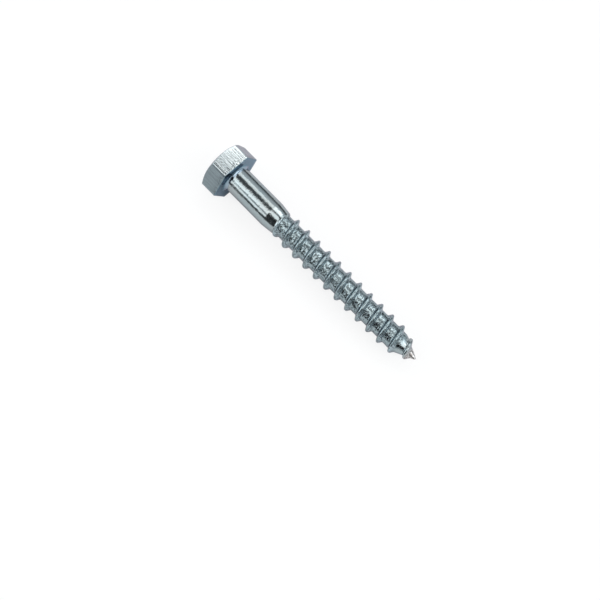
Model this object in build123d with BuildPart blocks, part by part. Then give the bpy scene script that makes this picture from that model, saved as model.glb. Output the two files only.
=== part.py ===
"""Hex-head lag screw: a one-piece wood screw of zinc-plated steel, lying at rest on a flat surface.

The screw is drawn upright about Z, with the head's bearing face at zero and the point towards +Z,
and is then laid down on one flat of its head and on the crest of its thread. Lengths in millimetres.
"""

import os
from math import atan2, ceil, cos, floor, radians, sin, tan

from build123d import *

# Head
across_flats = 13.0
head_height = 5.2
head_top_share = 0.95  # the flat top circle, as a share of the width across flats
head_chamfer_angle = 30.0
hex_corner_radius = 0.4
neck_flare = 0.7  # the shank widens by this much on each side as it meets the head

# Plain shank, with the tapered relief and the shoulder that lead down to the thread's core
screw_length = 64.2
shank_diameter = 7.42
shank_length = 13.35
relief_length = 3.1
relief_depth = 0.37
shoulder_length = 0.7

# Right-hand coarse wood thread
thread_diameter = 7.78
core_diameter = 5.66
pitch = 3.707
thread_angle = 60.0
crest_width = 0.3
thread_lead_in = 1.23  # from the end of the plain shank to the ridge's start, hidden under the relief
runout_start = 13.2  # the crest rises from the core's radius here to its full radius
runout_length = 6.2

# Gimlet point: the core narrows as a cone, and the crest falls along a parabola and then fades out
point_angle = 51.0
point_chamfer = 0.8
tip_diameter = 0.54
tip_height = 0.17
crest_fall_reach = 8.4  # from the tip back to where the crest starts to fall
crest_fall_length = 9.0
bare_tip = 0.7
thread_fade_length = 1.4

# Making of the ridge and of the cuts
turns_per_stretch = 0.9
sections_per_stretch = 16
ridge_root_share = 0.75  # the ridge starts below the core's surface, at this share of its radius
ridge_end_share = 0.05  # what is left of its height at its end, sunk in the core
overrun = 1.0

shank_radius = shank_diameter / 2
core_radius = core_diameter / 2
crest_radius = thread_diameter / 2
corner_circle_radius = across_flats / 2 / cos(radians(30))
head_top_radius = head_top_share * across_flats / 2

point_slope = tan(radians(point_angle / 2))
cone_end = screw_length - tip_height
cone_start = cone_end - (core_radius - tip_diameter / 2) / point_slope
thread_start = shank_length + thread_lead_in
thread_end = screw_length - bare_tip
crest_fall_start = screw_length - crest_fall_reach


def ridge_outline(height):
    """Corners of the ridge's section, as radius and height.

    The crest rises out of the relief, runs level, falls towards the point and fades into the core.
    """
    core = core_radius - max(height - cone_start, 0) * point_slope
    root = ridge_root_share * core
    rise = max(runout_start + runout_length - height, 0) / runout_length
    fall = max(height - crest_fall_start, 0) / crest_fall_length
    fade = min((thread_end - height) / thread_fade_length, 1)
    level = crest_radius - rise * (crest_radius - core_radius) - fall**2 * crest_radius
    crest = root + max(fade, ridge_end_share) * (level - root)
    half_crest = crest_width / 2
    half_root = half_crest + (crest - root) * tan(radians(thread_angle / 2))
    return [
        (root, height - half_root),
        (crest, height - half_crest),
        (crest, height + half_crest),
        (root, height + half_root),
    ]


# Head, shank, relief, core and point as one body: a hexagon with a turned top, and a turned stem
with BuildPart() as body:
    with BuildSketch() as hexagon:
        RegularPolygon(across_flats / 2, 6, major_radius=False, rotation=30)
        fillet(hexagon.vertices(), hex_corner_radius)
    extrude(amount=-head_height - overrun)

    chamfer_radius = corner_circle_radius + overrun
    chamfer_drop = (chamfer_radius - head_top_radius) * tan(radians(head_chamfer_angle))
    with BuildSketch(Plane.XZ) as head_envelope:
        with BuildLine():
            Polyline(
                (0, -head_height),
                (head_top_radius, -head_height),
                (chamfer_radius, chamfer_drop - head_height),
                (chamfer_radius, overrun),
                (0, overrun),
                close=True,
            )
        make_face()
    revolve(axis=Axis.Z, mode=Mode.INTERSECT)

    relief_end = shank_length + relief_length
    with BuildSketch(Plane.XZ) as stem_profile:
        with BuildLine():
            Polyline(
                (0, -head_height / 2),
                (shank_radius, -head_height / 2),
                (shank_radius, shank_length),
                (shank_radius - relief_depth, relief_end),
                (core_radius, relief_end + shoulder_length),
                (core_radius, cone_start),
                (tip_diameter / 2, cone_end),
                (0, screw_length),
                close=True,
            )
        make_face()
        cone_corner = stem_profile.vertices().sort_by_distance((core_radius, cone_start))[0]
        chamfer(cone_corner, point_chamfer)
    revolve(axis=Axis.Z)

    bearing_face = body.faces().filter_by(GeomType.PLANE).sort_by(Axis.Z)[-1]
    neck = bearing_face.edges().filter_by(GeomType.CIRCLE).sort_by(SortBy.RADIUS)[-1]
    chamfer(neck, neck_flare)

# Thread: stretches of less than a turn, each lofted through radial sections of the ridge
ridge_turns = (thread_end - thread_start) / pitch
stretch_count = ceil(ridge_turns / turns_per_stretch)
stretches = []
for stretch in range(stretch_count):
    with BuildPart() as ridge:
        for section in range(sections_per_stretch + 1):
            turn = (stretch + section / sections_per_stretch) * ridge_turns / stretch_count
            around = 180 + 360 * turn
            with BuildSketch(Plane.XZ.rotated((0, 0, around))):
                with BuildLine():
                    Polyline(*ridge_outline(thread_start + turn * pitch), close=True)
                make_face()
        loft()
    stretches.append(ridge.part)

with BuildPart() as upright_screw:
    add(body.part)
    add(stretches)

# Rest: the head lies on the lower flat's edge at the bearing face, the thread on its last full crest
rest_turn = floor((crest_fall_start - thread_start) / pitch)
rest_height = thread_start + rest_turn * pitch + crest_width / 2
rest_tilt = atan2(across_flats / 2 - crest_radius, rest_height)
reach_to_tip = screw_length * cos(rest_tilt)
reach_to_top = head_height * cos(rest_tilt) + head_top_radius * sin(rest_tilt)
rest_plane = Plane(
    origin=((reach_to_top - reach_to_tip) / 2, 0, across_flats / 2 * cos(rest_tilt)),
    x_dir=(sin(rest_tilt), 0, cos(rest_tilt)),
    z_dir=(cos(rest_tilt), 0, -sin(rest_tilt)),
)
with BuildPart(rest_plane) as lag_screw:
    add(upright_screw.part)
lag_screw.part.label = "lag_screw"

os.makedirs("parts", exist_ok=True)
export_step(lag_screw.part, "parts/lag_screw.step")
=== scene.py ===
"""Look of the lag screw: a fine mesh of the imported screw, its zinc plating, and a small photo studio."""

from math import atan2, cos, degrees, floor, pi, radians, sin, sqrt, tan

import bpy
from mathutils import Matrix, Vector, noise


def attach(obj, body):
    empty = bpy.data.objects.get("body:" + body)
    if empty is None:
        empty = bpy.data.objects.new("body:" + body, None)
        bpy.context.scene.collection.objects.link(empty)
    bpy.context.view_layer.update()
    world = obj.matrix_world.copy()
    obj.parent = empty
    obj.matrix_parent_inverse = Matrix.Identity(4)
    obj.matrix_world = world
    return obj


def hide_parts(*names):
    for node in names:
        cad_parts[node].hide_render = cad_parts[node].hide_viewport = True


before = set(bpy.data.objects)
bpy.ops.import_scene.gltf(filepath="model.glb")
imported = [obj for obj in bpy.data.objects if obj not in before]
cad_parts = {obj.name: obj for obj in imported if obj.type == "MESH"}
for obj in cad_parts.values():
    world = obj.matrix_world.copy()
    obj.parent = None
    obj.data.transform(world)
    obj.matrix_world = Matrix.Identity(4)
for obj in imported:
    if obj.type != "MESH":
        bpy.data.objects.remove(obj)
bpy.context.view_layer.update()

MM = 0.001

# The screw's dimensions in millimetres, as in the CAD model
ACROSS_FLATS = 13.0
HEAD_HEIGHT = 5.2
HEAD_TOP_SHARE = 0.95
HEAD_CHAMFER_DEG = 30.0
HEX_CORNER_RADIUS = 0.4
SCREW_LENGTH = 64.2
SHANK_DIAMETER = 7.42
SHANK_LENGTH = 13.35
RELIEF_LENGTH = 3.1
RELIEF_DEPTH = 0.37
SHOULDER_LENGTH = 0.7
THREAD_DIAMETER = 7.78
CORE_DIAMETER = 5.66
PITCH = 3.707
THREAD_ANGLE_DEG = 60.0
CREST_WIDTH = 0.3
THREAD_LEAD_IN = 1.23
RUNOUT_START = 13.2
RUNOUT_LENGTH = 6.2
POINT_ANGLE_DEG = 51.0
TIP_DIAMETER = 0.54
TIP_HEIGHT = 0.17
CREST_FALL_REACH = 8.4
CREST_FALL_LENGTH = 9.0
BARE_TIP = 0.7
THREAD_FADE_LENGTH = 1.4
RIDGE_ROOT_SHARE = 0.75
RIDGE_END_SHARE = 0.05

# Small roundings that the CAD model leaves out or has as chamfers
EDGE_ROUND = 0.16
TOP_EDGE_ROUND = 0.3
NECK_FILLET = 0.9
CREST_ROUND = 0.38
CONE_BLEND = 0.35
ROOT_BLEND = 0.3  # on the head's side of the ridge
TIP_SIDE_ROOT_BLEND = 0.4
ROOT_SIDE_REACH = 0.6  # from the crest line to where the tip side's blend is full
ROOT_BLEND_RISE = 5.0  # the blend grows from the end of the shank over this length
LEAST_ROOT_BLEND = 0.02

# Rolled dents of the thread: shallow, calmer on the ridge and on the cone, and gone at the tip
DENT_HEIGHT = 0.016
DENT_SIZE = 0.75
FINE_DENTS = 2.1  # how much closer the second, finer dents are
RIDGE_CALM = 0.35
RIDGE_CALM_FROM = 0.3  # how far the ridge stands above the core where it starts to be calmer
TIP_SIDE_CALM_FROM = 0.8
RIDGE_CALM_RISE = 0.4
CONE_CALM = 0.8
CONE_CALM_REACH = 1.0  # before and after the start of the cone
TIP_CALM = 0.2  # what is left of the dents on the cone
TIP_CALM_HEIGHTS = (60.5, 62)

# Haze on the ridge's tip-side flank, partly a duller plating and partly painted light that makes the flank
# lighter, by how far the ridge stands above the core there
HAZE_RISE = (0.1, 0.35)
HAZE_FALL = (0.75, 0.95)
HAZE_END_HEIGHTS = (57, 60)

HEAD_TOP_RADIUS = HEAD_TOP_SHARE * ACROSS_FLATS / 2
SHANK_RADIUS = SHANK_DIAMETER / 2
CREST_RADIUS = THREAD_DIAMETER / 2
CORE_RADIUS = CORE_DIAMETER / 2
TIP_RADIUS = TIP_DIAMETER / 2
RELIEF_END = SHANK_LENGTH + RELIEF_LENGTH
SHOULDER_END = RELIEF_END + SHOULDER_LENGTH
THREAD_START = SHANK_LENGTH + THREAD_LEAD_IN
THREAD_END = SCREW_LENGTH - BARE_TIP
CREST_FALL_START = SCREW_LENGTH - CREST_FALL_REACH
POINT_SLOPE = tan(radians(POINT_ANGLE_DEG / 2))
CONE_END = SCREW_LENGTH - TIP_HEIGHT
CONE_START = CONE_END - (CORE_RADIUS - TIP_RADIUS) / POINT_SLOPE
FLANK_SLOPE = 1 / tan(radians(THREAD_ANGLE_DEG / 2))
CHAMFER_SLOPE = tan(radians(HEAD_CHAMFER_DEG))


def smooth_step(low, high, value):
    """0 up to low, 1 from high, and a smooth rise between them."""
    t = min(max((value - low) / (high - low), 0), 1)
    return t * t * (3 - 2 * t)


def smooth_max(a, b, reach):
    """The larger of two values, blended where they differ by less than reach."""
    near = max(reach - abs(a - b), 0) / reach
    return max(a, b) + near * near * reach / 4


# Columns of the mesh: angles round the axis, close together at the six corners of the head
SIDES = 6
SIDE_DEG = 360 / SIDES
FLAT_STEPS = 14
CORNER_STEPS = 6
half_flat = ACROSS_FLATS / 2 * tan(radians(SIDE_DEG / 2))
corner_tangent = half_flat - HEX_CORNER_RADIUS * tan(radians(SIDE_DEG / 2))
flat_reach = degrees(atan2(corner_tangent, ACROSS_FLATS / 2))
columns = []
for side in range(SIDES):
    middle = SIDE_DEG * side
    for step in range(FLAT_STEPS):
        columns.append(middle - flat_reach + 2 * flat_reach * step / FLAT_STEPS)
    for step in range(CORNER_STEPS):
        columns.append(middle + flat_reach + (SIDE_DEG - 2 * flat_reach) * step / CORNER_STEPS)
COLUMNS = len(columns)


def hex_radius(angle):
    """Distance from the axis to the head's outline, with its rounded corners."""
    off_flat = (angle + SIDE_DEG / 2) % SIDE_DEG - SIDE_DEG / 2
    if abs(off_flat) <= flat_reach:
        return ACROSS_FLATS / 2 / cos(radians(off_flat))
    off_corner = radians(SIDE_DEG / 2 - abs(off_flat))
    centre = (ACROSS_FLATS / 2 - HEX_CORNER_RADIUS) / cos(radians(SIDE_DEG / 2))
    return centre * cos(off_corner) + sqrt(HEX_CORNER_RADIUS**2 - (centre * sin(off_corner)) ** 2)


def core_radius(height):
    """The turned stem below the head, without the thread."""
    if height < SHANK_LENGTH:
        return SHANK_RADIUS
    if height < RELIEF_END:
        return SHANK_RADIUS - RELIEF_DEPTH * (height - SHANK_LENGTH) / RELIEF_LENGTH
    low = SHANK_RADIUS - RELIEF_DEPTH
    level = low + (CORE_RADIUS - low) * smooth_step(RELIEF_END, SHOULDER_END, height)
    cone = CORE_RADIUS - (height - CONE_START) * POINT_SLOPE
    return -smooth_max(-level, -cone, CONE_BLEND)


def crest_radius(height):
    """The thread's crest: it rises out of the relief, runs level, falls along the point and fades."""
    core = CORE_RADIUS - max(height - CONE_START, 0) * POINT_SLOPE
    root = RIDGE_ROOT_SHARE * core
    rise = max(RUNOUT_START + RUNOUT_LENGTH - height, 0) / RUNOUT_LENGTH
    fall = max(height - CREST_FALL_START, 0) / CREST_FALL_LENGTH
    fade = min((THREAD_END - height) / THREAD_FADE_LENGTH, 1)
    level = CREST_RADIUS - rise * (CREST_RADIUS - CORE_RADIUS) - fall**2 * CREST_RADIUS
    return root + max(fade, RIDGE_END_SHARE) * (level - root)


def ridge_radius(crest, offset):
    """Section of the ridge at an axial offset from its crest line, rounded between its flanks."""
    across = abs(offset)
    if across < CREST_ROUND * cos(radians(THREAD_ANGLE_DEG / 2)):
        return crest - CREST_ROUND + sqrt(CREST_ROUND**2 - across**2)
    return crest - across * FLANK_SLOPE + CREST_ROUND


points = []  # angle, radius and height of each vertex, in degrees and millimetres
finishes = []  # each vertex's share of the rolled dents, of the tip-side haze with its painted light and of the head's flats
faces = []


def add_ring(radius_at, height_at, flat=0.0):
    """One vertex in each column; returns their numbers."""
    first = len(points)
    for angle in columns:
        points.append((angle, radius_at(angle), height_at(angle)))
        finishes.append((0.0, 0.0, flat))
    return list(range(first, first + COLUMNS))


def join_rings(lower, upper):
    """A band of faces between two rings."""
    for column in range(COLUMNS):
        after = (column + 1) % COLUMNS
        faces.append((lower[column], lower[after], upper[after], upper[column]))


def close_ring(ring, height, tip_side):
    """A fan from a ring to a point on the axis."""
    centre = len(points)
    points.append((0.0, 0.0, height))
    finishes.append((0.0, 0.0, 0.0))
    for column in range(COLUMNS):
        pair = (ring[column], ring[(column + 1) % COLUMNS])
        faces.append((*pair, centre) if tip_side else (*reversed(pair), centre))


# Head and plain shank: rings from the middle of the head's top to the end of the shank
TOP_SHARES = (0.3, 0.6, 0.85)
TOP_EDGE_TURNS = (0, 0.25, 0.5, 0.75, 1)
CHAMFER_EDGE_TURNS = (0, 0.35, 0.7, 1)
CHAMFER_EDGE_BACK = 0.6  # how far the blunted edge stays back, as a share of its rounding
CHAMFER_EDGE_START = 0.45  # and how far towards the head's top it starts
FLAT_SHARES = (0.25, 0.5, 0.75)
BEARING_EDGE_TURNS_DEG = (0, 18, 36, 54, 72, 90)
BEARING_SHARES = (0.3, 0.65, 0.92)
NECK_TURNS_DEG = range(0, 91, 10)
SHANK_RINGS = 16


def chamfer_height(radius):
    """Height of the head's turned chamfer at a distance from the axis."""
    return -HEAD_HEIGHT + (radius - HEAD_TOP_RADIUS) * CHAMFER_SLOPE


def head_rings():
    """Radius and height of each ring, as functions of the angle, and its share of the flats."""
    for share in TOP_SHARES:
        yield (lambda angle, r=share * HEAD_TOP_RADIUS: r), (lambda angle: -HEAD_HEIGHT), 0.0
    # Blunted edge between the top and the chamfer
    for turn in TOP_EDGE_TURNS:
        run = TOP_EDGE_ROUND * (turn - 0.5)
        drop = TOP_EDGE_ROUND * CHAMFER_SLOPE * turn * turn / 2
        yield (lambda angle, r=HEAD_TOP_RADIUS + run: r), (lambda angle, d=drop: d - HEAD_HEIGHT), 0.0
    # Blunted edge between the chamfer and the flats
    for turn in CHAMFER_EDGE_TURNS:
        back = EDGE_ROUND * (1 - turn) ** 2 * CHAMFER_EDGE_BACK
        down = EDGE_ROUND * (turn - CHAMFER_EDGE_START)
        yield (
            lambda angle, b=back: hex_radius(angle) - b,
            lambda angle, d=down: chamfer_height(hex_radius(angle)) + d,
            turn,
        )
    # Flats
    for share in FLAT_SHARES:
        yield (
            hex_radius,
            lambda angle, s=share: (1 - s) * chamfer_height(hex_radius(angle)) - s * EDGE_ROUND,
            1.0,
        )
    # Rounded edge of the bearing face
    for turn in BEARING_EDGE_TURNS_DEG:
        back = EDGE_ROUND * (1 - cos(radians(turn)))
        down = EDGE_ROUND * (1 - sin(radians(turn)))
        yield (lambda angle, b=back: hex_radius(angle) - b), (lambda angle, d=down: -d), 1 - turn / 90
    # Bearing face and the fillet that leads into the shank
    neck = SHANK_RADIUS + NECK_FILLET
    for share in BEARING_SHARES:
        yield (
            lambda angle, s=share: hex_radius(angle) + s * (neck - hex_radius(angle)),
            lambda angle: 0.0,
            0.0,
        )
    for turn in NECK_TURNS_DEG:
        radius = neck - NECK_FILLET * sin(radians(turn))
        height = NECK_FILLET * (1 - cos(radians(turn)))
        yield (lambda angle, r=radius: r), (lambda angle, h=height: h), 0.0
    # Plain shank
    for ring in range(1, SHANK_RINGS + 1):
        height = NECK_FILLET + (SHANK_LENGTH - NECK_FILLET) * ring / SHANK_RINGS
        yield (lambda angle: SHANK_RADIUS), (lambda angle, h=height: h), 0.0


last = None
for radius_at, height_at, flat in head_rings():
    ring = add_ring(radius_at, height_at, flat)
    if last is None:
        close_ring(ring, -HEAD_HEIGHT, tip_side=False)
    else:
        join_rings(last, ring)
    last = ring
shank_end = last

# Tip: the cone's last ring and a small dome
DOME_RADIUS_SHARE = 0.6
DOME_HEIGHT_SHARE = 0.7
tip_ring = add_ring(lambda angle: TIP_RADIUS, lambda angle: CONE_END)
tip_dome = add_ring(
    lambda angle: DOME_RADIUS_SHARE * TIP_RADIUS, lambda angle: CONE_END + DOME_HEIGHT_SHARE * TIP_HEIGHT
)
join_rings(tip_ring, tip_dome)
close_ring(tip_dome, SCREW_LENGTH, tip_side=True)

# Threaded part: rows at set axial offsets from the crest line wind round the axis with the ridge
CREST_OFFSETS = [0.08, 0.16, 0.24, 0.3, 0.34]
FLANK_OFFSETS = [0.42, 0.5, 0.58, 0.66, 0.74, 0.82, 0.9, 0.98]
VALLEY_OFFSETS = [1.07, 1.2, 1.33, 1.46, 1.59, 1.72]
SNAP = 0.04  # a row that comes this close to an end ring is cut off there
one_side = CREST_OFFSETS + FLANK_OFFSETS + VALLEY_OFFSETS
offsets = sorted([0.0] + one_side + [-offset for offset in one_side]) + [PITCH / 2]
ROWS_PER_TURN = len(offsets)


def dents(angle, radius, height):
    """Height of the uneven rolled surface, from smooth noise."""
    place = Vector((radius * cos(radians(angle)), radius * sin(radians(angle)), height))
    coarse = DENT_HEIGHT * noise.noise(place / DENT_SIZE)
    return coarse + DENT_HEIGHT / 2 * noise.noise(place * FINE_DENTS / DENT_SIZE)


def thread_vertex(column, turn, offset):
    """The vertex of a row in a column: an end ring's own vertex past the ends, else a new one."""
    angle = columns[column]
    crest_height = THREAD_START + PITCH * (turn + (angle - 180) / 360)
    height = crest_height + offset
    if height < SHANK_LENGTH + SNAP:
        return shank_end[column]
    if height > CONE_END - SNAP:
        return tip_ring[column]

    radius = core_radius(height)
    tip_flank = 0.0
    lead = -1.0  # how far the ridge stands above the core here
    if THREAD_START < crest_height < THREAD_END:
        ridge = ridge_radius(crest_radius(crest_height), offset)
        lead = ridge - radius
        if offset > 0:
            tip_flank = smooth_step(*HAZE_RISE, lead) * (1 - smooth_step(*HAZE_FALL, lead))
            tip_flank *= 1 - smooth_step(*HAZE_END_HEIGHTS, height)
        blend = ROOT_BLEND + (TIP_SIDE_ROOT_BLEND - ROOT_BLEND) * smooth_step(0.0, ROOT_SIDE_REACH, offset)
        blend = blend * smooth_step(SHANK_LENGTH, SHANK_LENGTH + ROOT_BLEND_RISE, height) + LEAST_ROOT_BLEND
        radius = smooth_max(radius, ridge, blend)

    calm_from = TIP_SIDE_CALM_FROM if offset > 0 else RIDGE_CALM_FROM
    dented = 1 - RIDGE_CALM * smooth_step(calm_from, calm_from + RIDGE_CALM_RISE, lead)
    dented *= smooth_step(RELIEF_END, SHOULDER_END, height)
    on_cone = smooth_step(CONE_START - CONE_CALM_REACH, CONE_START + CONE_CALM_REACH, height)
    dented *= 1 - CONE_CALM * on_cone - TIP_CALM * smooth_step(*TIP_CALM_HEIGHTS, height)
    points.append((angle, radius + dented * dents(angle, radius, height), height))
    finishes.append((dented, tip_flank, 0.0))
    return len(points) - 1


first_turn = floor((SHANK_LENGTH - THREAD_START) / PITCH) - 1
last_turn = floor((SCREW_LENGTH - THREAD_START) / PITCH) + 2
rows = [(turn, offset) for turn in range(first_turn, last_turn + 1) for offset in offsets]
grid = [[thread_vertex(column, turn, offset) for turn, offset in rows] for column in range(COLUMNS)]
for column in range(COLUMNS):
    after = (column + 1) % COLUMNS
    shift = ROWS_PER_TURN if after == 0 else 0
    here, there = grid[column], grid[after]
    for row in range(len(rows) - 1 - shift):
        lower = row + shift
        corners = [here[row], there[lower], there[lower + 1], here[row + 1]]
        outline = [corner for n, corner in enumerate(corners) if corner != corners[n - 1]]
        if len(outline) > 2:
            faces.append(tuple(outline))

# The screw lies on its lower flat's edge at the bearing face and on its last full crest
rest_turn = floor((CREST_FALL_START - THREAD_START) / PITCH)
rest_height = THREAD_START + rest_turn * PITCH + CREST_WIDTH / 2
rest_tilt = atan2(ACROSS_FLATS / 2 - CREST_RADIUS, rest_height)
reach_to_tip = SCREW_LENGTH * cos(rest_tilt)
reach_to_top = HEAD_HEIGHT * cos(rest_tilt) + HEAD_TOP_RADIUS * sin(rest_tilt)
origin = Vector(((reach_to_top - reach_to_tip) / 2, 0, ACROSS_FLATS / 2 * cos(rest_tilt)))
up_flat = Vector((sin(rest_tilt), 0, cos(rest_tilt)))
to_tip = Vector((cos(rest_tilt), 0, -sin(rest_tilt)))
sideways = to_tip.cross(up_flat)

own_places = []
rest_places = []
for angle, radius, height in points:
    x, y = radius * cos(radians(angle)), radius * sin(radians(angle))
    own_places.append((x, y, height))
    rest_places.append((origin + x * up_flat + y * sideways + height * to_tip) * MM)

mesh = bpy.data.meshes.new("lag_screw_plated")
mesh.from_pydata(rest_places, [], faces)
mesh.attributes.new("own_place", "FLOAT_VECTOR", "POINT").data.foreach_set(
    "vector", [value for place in own_places for value in place]
)
mesh.attributes.new("finish", "FLOAT_VECTOR", "POINT").data.foreach_set(
    "vector", [value for finish in finishes for value in finish]
)
mesh.shade_smooth()
shank_end_ring = set(shank_end)
mesh.attributes.new("sharp_edge", "BOOLEAN", "EDGE").data.foreach_set(
    "value", [shank_end_ring.issuperset(edge.vertices) for edge in mesh.edges]
)
screw = bpy.data.objects.new("lag_screw_plated", mesh)
bpy.context.scene.collection.objects.link(screw)


def put(kind, inputs=None, **settings):
    """A node in the current tree with its settings, and its inputs as values or as other nodes' outputs."""
    made = tree.nodes.new("ShaderNode" + kind)
    for name, value in settings.items():
        setattr(made, name, value)
    for name, value in (inputs or {}).items():
        if isinstance(value, bpy.types.NodeSocket):
            tree.links.new(value, made.inputs[name])
        else:
            made.inputs[name].default_value = value
    return made


def calculate(operation, *values):
    """A number worked out from numbers or from other nodes' outputs."""
    return put("Math", dict(enumerate(values)), operation=operation).outputs[0]


def product(first, *others):
    """All the numbers multiplied, in their order."""
    for other in others:
        first = calculate("MULTIPLY", first, other)
    return first


def total(first, *others):
    """All the numbers added, in their order."""
    for other in others:
        first = calculate("ADD", first, other)
    return first


def rest_of(share):
    """What a share leaves of one."""
    return calculate("SUBTRACT", 1.0, share)


def spread(value, low, high, to_low=0.0, to_high=1.0):
    """Maps the range from low to high smoothly to the range from to_low to to_high."""
    inputs = {"Value": value, "From Min": low, "From Max": high, "To Min": to_low, "To Max": to_high}
    return put("MapRange", inputs, interpolation_type="SMOOTHSTEP").outputs["Result"]


def mix(share, first, second):
    """A blend of two tones, each a linear colour or another node's output."""
    inputs = {"Fac": share}
    for name, tone in (("Color1", first), ("Color2", second)):
        inputs[name] = tone if isinstance(tone, bpy.types.NodeSocket) else (*tone, 1.0)
    return put("MixRGB", inputs).outputs[0]


# Zinc plating: bright shank, pitted valleys with painted shade in the pits, hazy tip-side flanks that are
# partly painted light, drawn flats with a painted lit upper flat, a bearing face with painted shade, and a
# bare steel tip
PATINA_TONES = (0.325, 0.38, 0.39), (0.345, 0.38, 0.382)
ROLLED_TONE = (0.273, 0.332, 0.347)
TOP_STAIN_TONE = (0.24, 0.285, 0.3)
DRAWN_TONES = (0.185, 0.222, 0.236), (0.25, 0.298, 0.317)
# painted light: the upper flat's tones are a lighter, lit copy of the flats' tone
UP_FLAT_PAINTED_LIGHT_TONES = (0.40, 0.45, 0.465), (0.72, 0.775, 0.78)
# the tip-side flank's lighter tone: partly the plating's haze, partly painted light
HAZE_AND_PAINTED_LIGHT_TONE = (0.5, 0.605, 0.645)
# painted shade: the bearing face under the head is dark, on a bluer plating tone
BEARING_PAINTED_SHADE_TONE = (0.145, 0.25, 0.305)
NECK_TONE = (0.27, 0.34, 0.4)
STEEL_TONES = (0.24, 0.22, 0.205), (0.55, 0.54, 0.53)
# painted shade: near black in the pits of the valleys and flats
PIT_PAINTED_SHADE_TONE = (0.06, 0.08, 0.09)
PIT_PAINTED_SHADE_DEPTH = 0.7
EDGE_TINT = (0.67, 0.63, 0.68)

# Heights of the bump's patterns in millimetres
MOTTLE_RELIEF = 0.12
SPECK_RELIEF = 0.07
FINE_DRAWING_RELIEF = 0.012
WIDE_DRAWING_RELIEF = 0.014
RIPPLE_RELIEF = 0.03
FORGED_RELIEF = 0.05

# Roughness: the plating's own range, and what the parts add to it
POLISH_RANGE = (0.12, 0.18)
VALLEY_POLISH = 0.03
FLANK_ROUGHNESS = 0.12
FLAT_ROUGHNESS = 0.06
STEEL_ROUGHNESS = 0.12
HAZE_OPACITY = 0.2

# Parts of the screw by their height along its axis
HEAD_TOP_HEIGHTS = (-4.6, -5.0)
FLAT_PIT_HEIGHTS = (-2.2, -0.4)
BEARING_START, BEARING_END = (-0.12, -0.02), (0.5, 0.1)
NECK_START, NECK_END = (0.05, 0.25), (1.0, 0.7)
CALM_HEIGHTS, CALMEST = (25.0, 55.0), 0.6
STEEL_HEIGHTS = (61.3, 62.3)
ROLLED_FADE = 1.0  # the rolled tone ends over this length of the cone

# The upper flat by its place across the axis, painted lighter as if lit from above, and how its painted
# sheen runs from side to side
UP_FLAT_PLACE = (6.3, 6.45)
PAINTED_SHEEN_PLACE, PAINTED_SHEEN_RANGE = (3.2, -2.4), (0.12, 0.52)
LINE_PAINTED_SHEEN = 0.4

zinc = bpy.data.materials.new("zinc_plating")
zinc.use_nodes = True
tree = zinc.node_tree
shader = tree.nodes["Principled BSDF"]

own_place = put("Attribute", attribute_name="own_place").outputs["Vector"]
own = put("SeparateXYZ", {0: own_place}).outputs
height = own["Z"]
finish = put("SeparateXYZ", {0: put("Attribute", attribute_name="finish").outputs["Vector"]}).outputs
valley, tip_flank, flat = finish["X"], finish["Y"], finish["Z"]


def grain(size, detail, stretch=1.0):
    """Noise with grains of a size in millimetres, stretched along the screw's axis."""
    place = put("Mapping", {"Vector": own_place, "Scale": (1 / size, 1 / size, 1 / size / stretch)})
    return put("TexNoise", {"Vector": place.outputs[0], "Scale": 1.0, "Detail": detail}).outputs["Fac"]


mottle = grain(0.6, detail=1.5)
specks = spread(grain(0.4, detail=0.5), 0.55, 0.69)
fine_drawing = grain(0.16, detail=1.0, stretch=40.0)
wide_drawing = grain(0.32, detail=3.0, stretch=25.0)
lines = spread(grain(0.22, detail=2.0, stretch=40.0), 0.36, 0.62)
streaks = spread(grain(0.25, detail=2.0, stretch=12.0), 0.4, 0.6)
flat_specks = spread(grain(0.34, detail=1.0), 0.53, 0.6)
ripple = grain(0.45, detail=1.0)
patina = grain(5.0, detail=3.0)
forged = grain(1.3, detail=3.0)

head_top = spread(height, *HEAD_TOP_HEIGHTS)
steel_part = product(spread(height, *STEEL_HEIGHTS), rest_of(tip_flank))
# tip-side flank mask for the haze and its painted light
haze_and_painted_light = product(tip_flank, spread(mottle, 0.4, 0.6, 0.5, 1.0))

rolled = calculate("SUBTRACT", product(mottle, MOTTLE_RELIEF), product(specks, SPECK_RELIEF))
valley_relief = product(rolled, valley, spread(height, *CALM_HEIGHTS, 1.0, CALMEST))
drawing = total(product(fine_drawing, FINE_DRAWING_RELIEF), product(wide_drawing, WIDE_DRAWING_RELIEF))
relief = total(
    valley_relief,
    product(drawing, flat),
    product(ripple, RIPPLE_RELIEF),
    product(forged, FORGED_RELIEF, head_top),
)
bump = put("Bump", {"Height": relief, "Strength": 1.0, "Distance": MM})

polish = spread(patina, 0.3, 0.7, *POLISH_RANGE)
roughness = total(
    calculate("SUBTRACT", polish, product(valley, VALLEY_POLISH)),
    product(tip_flank, FLANK_ROUGHNESS),
    product(flat, FLAT_ROUGHNESS),
    product(steel_part, STEEL_ROUGHNESS),
)

before_cone = spread(height, CONE_START + ROLLED_FADE, CONE_START)
rolled_part = product(spread(height, RELIEF_END, SHOULDER_END), before_cone)
stained = product(head_top, spread(forged, 0.4, 0.65, 0.0, 0.6))
# painted light on the upper flat, with a painted sheen that runs from side to side
up_flat_painted_light = product(flat, spread(own["X"], *UP_FLAT_PLACE))
painted_sheen = total(spread(own["Y"], *PAINTED_SHEEN_PLACE, *PAINTED_SHEEN_RANGE), product(lines, LINE_PAINTED_SHEEN))
# painted shade under the head, on the bearing face
bearing_painted_shade = product(spread(height, *BEARING_START), spread(height, *BEARING_END))
neck_part = product(spread(height, *NECK_START), spread(height, *NECK_END))
# painted shade in the pits near the flats' lower edge and in the valleys
flat_pits_painted_shade = product(flat_specks, spread(height, *FLAT_PIT_HEIGHTS), flat)
pits_painted_shade = calculate("MAXIMUM", product(specks, valley), flat_pits_painted_shade)

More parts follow.
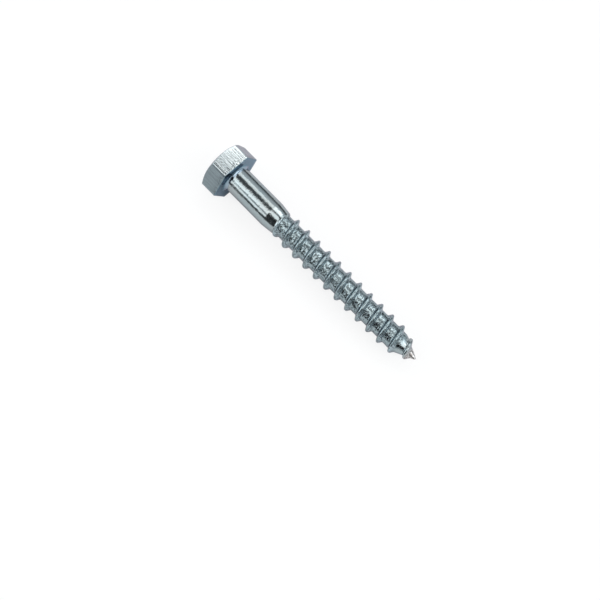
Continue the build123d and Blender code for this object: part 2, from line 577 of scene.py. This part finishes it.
tone = mix(spread(patina, 0.35, 0.65), *PATINA_TONES)
tone = mix(rolled_part, tone, ROLLED_TONE)
tone = mix(stained, tone, TOP_STAIN_TONE)
tone = mix(flat, tone, mix(lines, *DRAWN_TONES))
# the upper flat is painted lighter, as if lit
tone = mix(up_flat_painted_light, tone, mix(painted_sheen, *UP_FLAT_PAINTED_LIGHT_TONES))
# the tip-side flanks are painted lighter, on a hazy plating
tone = mix(haze_and_painted_light, tone, HAZE_AND_PAINTED_LIGHT_TONE)
# the bearing face gets painted shade
tone = mix(bearing_painted_shade, tone, BEARING_PAINTED_SHADE_TONE)
tone = mix(neck_part, tone, NECK_TONE)
tone = mix(steel_part, tone, mix(streaks, *STEEL_TONES))
# the pits are painted dark, as shade
tone = mix(product(pits_painted_shade, PIT_PAINTED_SHADE_DEPTH), tone, PIT_PAINTED_SHADE_TONE)

shader.inputs["Specular Tint"].default_value = (*EDGE_TINT, 1.0)
tree.links.new(tone, shader.inputs["Base Color"])
tree.links.new(rest_of(product(haze_and_painted_light, HAZE_OPACITY)), shader.inputs["Metallic"])
tree.links.new(roughness, shader.inputs["Roughness"])
tree.links.new(bump.outputs["Normal"], shader.inputs["Normal"])
mesh.materials.append(zinc)

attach(screw, "root")
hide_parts("lag_screw")

# Floor: white paper round the screw, with painted shade that darkens it far away so that it does not light
# the room
FLOOR_REACH = 1.5
PAPER_EDGE = (0.115, 0.3)  # distances from the middle over which painted shade darkens the paper, in metres
PAPER_TONE = (0.95, 0.95, 0.95)
# painted shade: the far paper's dark tone
FAR_PAPER_PAINTED_SHADE_TONE = (0.3, 0.3, 0.3)
WHITE = (1.0, 1.0, 1.0)
SEEN_WHITENESS = 0.83  # the camera sees this much plain white; the rest is lit and keeps the shadow
MIRRORED_WHITENESS = 0.15

floor_corners = [(x * FLOOR_REACH, y * FLOOR_REACH, 0) for x, y in ((-1, -1), (1, -1), (1, 1), (-1, 1))]
floor_mesh = bpy.data.meshes.new("floor")
floor_mesh.from_pydata(floor_corners, [], [(0, 1, 2, 3)])
floor_object = bpy.data.objects.new("floor", floor_mesh)
bpy.context.scene.collection.objects.link(floor_object)
paper = bpy.data.materials.new("floor_paper")
paper.use_nodes = True
tree = paper.node_tree
tree.nodes.remove(tree.nodes["Principled BSDF"])
across = put("VectorMath", {0: put("NewGeometry").outputs["Position"]}, operation="LENGTH").outputs["Value"]
far_off = spread(across, *PAPER_EDGE)
# painted shade: the paper darkens with distance from the middle
matt = put("BsdfDiffuse", {"Color": mix(far_off, PAPER_TONE, FAR_PAPER_PAINTED_SHADE_TONE)})
white = put("Emission", {"Color": (*WHITE, 1.0), "Strength": 1.0})
ray = put("LightPath").outputs
seen = calculate("MAXIMUM", ray["Is Camera Ray"], ray["Is Transmission Ray"])
mirrored = product(ray["Is Glossy Ray"], rest_of(far_off))
whiteness = calculate("MAXIMUM", product(seen, SEEN_WHITENESS), product(mirrored, MIRRORED_WHITENESS))
shown = put("MixShader", {0: whiteness, 1: matt.outputs[0], 2: white.outputs[0]})
tree.links.new(shown.outputs[0], tree.nodes["Material Output"].inputs["Surface"])
floor_mesh.materials.append(paper)

# Softboxes in a ceiling above the screw, facing down
CEILING = 0.6


def softbox(name, middle, size, radiance, turn_deg=0):
    """A rectangle in the ceiling. Its middle and size are shares of the ceiling's height."""
    lamp = bpy.data.lights.new(name, "AREA")
    lamp.shape = "RECTANGLE"
    lamp.size, lamp.size_y = [side * CEILING for side in size]
    lamp.energy = radiance * pi * lamp.size * lamp.size_y
    lamp_object = bpy.data.objects.new(name, lamp)
    lamp_object.location = [place * CEILING for place in middle] + [CEILING]
    lamp_object.rotation_euler.z = radians(turn_deg)
    bpy.context.scene.collection.objects.link(lamp_object)


softbox("softbox_over", middle=(-0.22, -0.52), size=(1.25, 0.34), radiance=2.05, turn_deg=54)
softbox("softbox_far", middle=(-0.81, 0.57), size=(1.37, 0.53), radiance=1.5)
softbox("softbox_far_end", middle=(0.01, 0.70), size=(0.26, 0.80), radiance=2.6)
softbox("softbox_low", middle=(-0.8, -2.25), size=(1.1, 1.5), radiance=1.6)
softbox("softbox_point", middle=(1.85, 0.3), size=(2.1, 1.5), radiance=2.0)
softbox("softbox_crest", middle=(-1.75, -0.05), size=(1.6, 0.5), radiance=2.2)
softbox("softbox_thread", middle=(0.53, -0.075), size=(0.54, 0.75), radiance=1.6)
softbox("softbox_head", middle=(-2.0, -0.7), size=(1.4, 1.4), radiance=2.4)

# World: a dim studio with dark near and far sides and light low corners; the camera sees plain white
SHADE_DEPTH = 0.96
FAR_SHADE = 0.6
HEAD_CORNER_LIGHT = 2.0
POINT_CORNER_LIGHT = 0.7
LOW_CORNER_LIGHT = 0.4
HEAD_SIDE_LIGHT = 0.9
SEEN_LEVEL = 0.9
WALL_TONE = (0.92, 1.0, 1.06)

world = bpy.data.worlds.new("studio")
bpy.context.scene.world = world
world.use_nodes = True
tree = world.node_tree
direction = put("SeparateXYZ", {0: put("TexCoord").outputs["Generated"]}).outputs
along, aside, up = direction["X"], direction["Y"], direction["Z"]

# Walls that are lighter higher up and on the far side, under a dark ceiling
walls = spread(up, 0.05, 0.55, 0.06, spread(aside, 0.0, 0.5, 0.5, 0.8))
room = product(walls, spread(up, 0.72, 0.9, 1.0, 0.2))
# Dark sides: the near one towards the point, and the middle of the far one
high_or_middle = calculate("MAXIMUM", spread(up, 0.2, 0.32), spread(along, 0.7, 0.5))
near_dark = product(spread(along, -0.2, 0.0), high_or_middle, spread(aside, 0.1, -0.2))
far_middle = product(spread(along, -0.27, -0.1), spread(along, 0.35, 0.1))
far_dark = product(spread(aside, 0.2, 0.5), spread(up, 0.45, 0.25), far_middle)
dark_sides = calculate("MAXIMUM", near_dark, product(far_dark, FAR_SHADE))
shade = product(dark_sides, spread(up, 0.1, 0.25), SHADE_DEPTH)

# Lights: in two opposite corners, low in the other two, and on the head's side
diagonal = product(along, aside)
corner = calculate("SUBTRACT", diagonal, spread(along, -0.1, 0.1, 0.11, 0.0))
corner_band = product(spread(up, 0.0, 0.1), spread(up, 0.7, 0.5))
corner_light = spread(along, -0.1, 0.1, HEAD_CORNER_LIGHT, POINT_CORNER_LIGHT)
low_corner = product(spread(diagonal, -0.3, -0.42), spread(up, 0.32, 0.2))
head_side_band = product(spread(up, 0.08, 0.2), spread(up, 0.6, 0.5))
head_side = product(spread(along, -0.72, -0.85), spread(aside, -0.25, -0.08), head_side_band)
level = total(
    product(room, rest_of(shade)),
    product(spread(corner, 0.15, 0.3), corner_band, corner_light),
    product(low_corner, LOW_CORNER_LIGHT),
    product(head_side, HEAD_SIDE_LIGHT),
)

ray = put("LightPath").outputs
seen = calculate("MAXIMUM", ray["Is Camera Ray"], ray["Is Transmission Ray"])
strength = total(product(level, rest_of(seen)), product(seen, SEEN_LEVEL))
tree.links.new(strength, tree.nodes["Background"].inputs["Strength"])
tree.links.new(mix(seen, WALL_TONE, WHITE), tree.nodes["Background"].inputs["Color"])

# Camera at the photo's viewing angle
CAMERA_PLACE = (0.038445, -0.064876, 0.195011)
CAMERA_TURN_DEG = (18.0348, -4.6061, 45.5135)
camera = bpy.data.cameras.new("camera")
camera.lens = 49.04
camera.sensor_width = 36.0
camera.clip_start = 0.01
camera_object = bpy.data.objects.new("camera", camera)
camera_object.location = CAMERA_PLACE
camera_object.rotation_euler = [radians(turn) for turn in CAMERA_TURN_DEG]
bpy.context.scene.collection.objects.link(camera_object)
bpy.context.scene.camera = camera_object

bpy.context.scene.view_settings.view_transform = "Standard"
